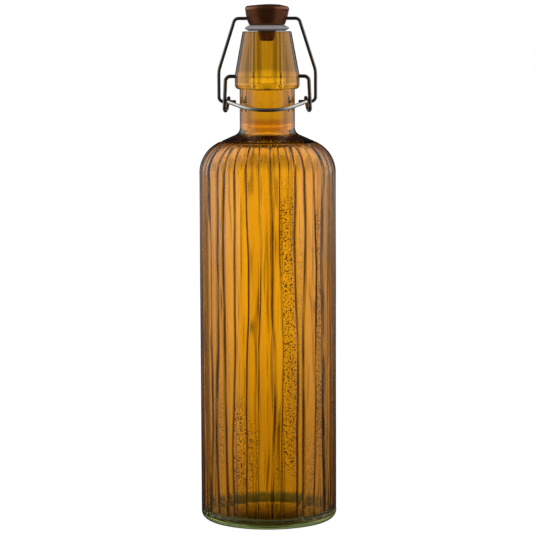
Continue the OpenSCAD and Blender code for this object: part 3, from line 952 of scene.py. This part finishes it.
# Seen only through the glass: dark under the bottle, and lighter away from it
bpy.ops.mesh.primitive_circle_add(
    vertices=64, radius=SHADE_R, fill_type="NGON", location=(0, 0, -FLOOR_DROP / 2)
)
shade = bpy.context.object
shade.name = "shade"
shade.visible_camera = False
shade.visible_diffuse = False
shade.visible_glossy = False
shade.visible_shadow = False
shade_material, tree = new_material("shade_under_glass")
place = shader(tree, "TexCoord").outputs["Object"]
away = shader(tree, "VectorMath", {0: place}, operation="LENGTH").outputs["Value"]
outward = {"From Min": FOOT_R, "From Max": SHADE_R, "To Min": SHADE_DARK, "To Max": SHADE_LIGHT}
lightness = shader(tree, "MapRange", {"Value": away, **outward}).outputs["Result"]
glow = shader(tree, "Emission", {"Color": (1, 1, 1, 1), "Strength": lightness})
shader(tree, "OutputMaterial", {"Surface": glow.outputs[0]})
shade.data.materials.append(shade_material)


def ramp(tree, value, stops):
    """A smooth run of grey levels over value, from (place, level) stops."""
    made = shader(tree, "ValToRGB", {"Fac": value})
    made.color_ramp.interpolation = "EASE"
    while len(made.color_ramp.elements) < len(stops):
        made.color_ramp.elements.new(0.5)
    for element, (place, level) in zip(made.color_ramp.elements, stops):
        element.position = place
        element.color = (level, level, level, 1)
    return made.outputs["Color"]


world = bpy.data.worlds.new("studio")
bpy.context.scene.world = world
world.use_nodes = True
tree = world.node_tree
tree.nodes.clear()
direction = shader(tree, "TexCoord").outputs["Generated"]
parts = shader(tree, "SeparateXYZ", {0: direction})
azimuth = math_node(tree, "ARCTAN2", parts.outputs["X"], parts.outputs["Y"])
turned = math_node(tree, "DIVIDE", math_node(tree, "ABSOLUTE", azimuth), math.pi)
rise = math_node(tree, "DIVIDE", math_node(tree, "ARCSINE", parts.outputs["Z"]), math.pi)
rise = math_node(tree, "ADD", rise, 0.5)
around = math_node(tree, "COSINE", math_node(tree, "MULTIPLY", azimuth, PANELS_ROUND))
around = math_node(tree, "MULTIPLY_ADD", around, 0.5, 0.5)

# What shows through the glass: bright panels every eighth of a turn with duller gaps between them,
# under a dark ceiling and over a dark table, and brighter stretches high up at the sides
gaps = ramp(tree, around, [(0.0, 0.6), (0.25, 0.68), (0.6, 1.12), (1.0, 1.2)])
low_part = ramp(tree, rise, [(0.475, 1.0), (0.488, 0.0)])
panels = mix(tree, low_part, ramp(tree, around, [(0.0, 0.75), (0.6, 1.15)]), gaps)
tall = ramp(
    tree, rise,
    [(0.20, 0.04), (0.28, 0.06), (0.33, 0.45), (0.37, 0.66), (0.439, 0.80), (0.461, 1.25), (0.479, 1.38),
     (0.486, 0.86), (0.491, 0.86), (0.495, 1.6), (0.507, 1.8), (0.52, 1.1), (0.6, 0.9), (0.66, 0.3),
     (0.72, 0.05)],
)
beside = ramp(tree, rise, [(0.5, 0.0), (0.56, 1.7), (0.74, 1.7), (0.82, 0.1)])
beside_turn = ramp(tree, turned, [(0.03, 0.0), (0.09, 1.0), (0.5, 1.0), (0.6, 0.1)])
beside = mix(tree, 1.0, beside, beside_turn, "MULTIPLY")
tall = mix(tree, 1.0, tall, beside, "LIGHTEN")
backdrop = mix(tree, 1.0, panels, tall, "MULTIPLY")

# What the surfaces mirror: a tall soft box at each side below eye level, a high soft box at each
# side above it, and little light from the front and the rear
boxes = ramp(
    tree, turned,
    [(0.0, 0.35), (0.2, 0.35), (0.31, 0.2), (0.36, 1.35), (0.70, 1.35), (0.76, 0.05), (1.0, 0.03)],
)
box_rise = ramp(
    tree, rise,
    [(0.30, 0.3), (0.37, 0.3), (0.41, 0.12), (0.435, 0.12), (0.461, 0.45), (0.48, 1.0)],
)
boxes = mix(tree, 1.0, boxes, box_rise, "MULTIPLY")
high_boxes = ramp(
    tree, turned,
    [(0.0, 0.01), (0.09, 0.03), (0.14, 0.12), (0.2, 0.6), (0.3, 1.6), (0.45, 1.1), (0.66, 0.9),
     (0.74, 0.12), (1.0, 0.05)],
)
high_boxes = mix(tree, 1.0, high_boxes, ramp(tree, rise, [(0.8, 1.0), (0.95, 0.1)]), "MULTIPLY")
boxes = mix(tree, ramp(tree, rise, [(0.472, 0.0), (0.492, 1.0)]), boxes, high_boxes)

path = shader(tree, "LightPath")
seen = mix(tree, path.outputs["Is Transmission Ray"], boxes, backdrop)
seen = mix(tree, path.outputs["Is Diffuse Ray"], seen, (ROOM_GREY, ROOM_GREY, ROOM_GREY))
seen = mix(tree, path.outputs["Is Camera Ray"], seen, (1.0, 1.0, 1.0))
background = shader(tree, "Background", {"Color": seen, "Strength": 1.0})
shader(tree, "OutputWorld", {"Surface": background.outputs[0]})

camera_data = bpy.data.cameras.new("camera")
camera_data.lens = CAMERA_LENS
camera_data.sensor_width = 36.0
camera = bpy.data.objects.new("camera", camera_data)
bpy.context.scene.collection.objects.link(camera)
camera.location = (0, -CAMERA_DISTANCE, CAMERA_HEIGHT)
camera.rotation_mode = "ZYX"
camera.rotation_euler = (math.pi / 2 - CAMERA_TILT, 0, CAMERA_ROLL)
bpy.context.scene.camera = camera

scene = bpy.context.scene
scene.view_settings.view_transform = "Standard"
scene.cycles.use_denoising = True
scene.cycles.max_bounces = 24
scene.cycles.transmission_bounces = 24
scene.cycles.glossy_bounces = 12
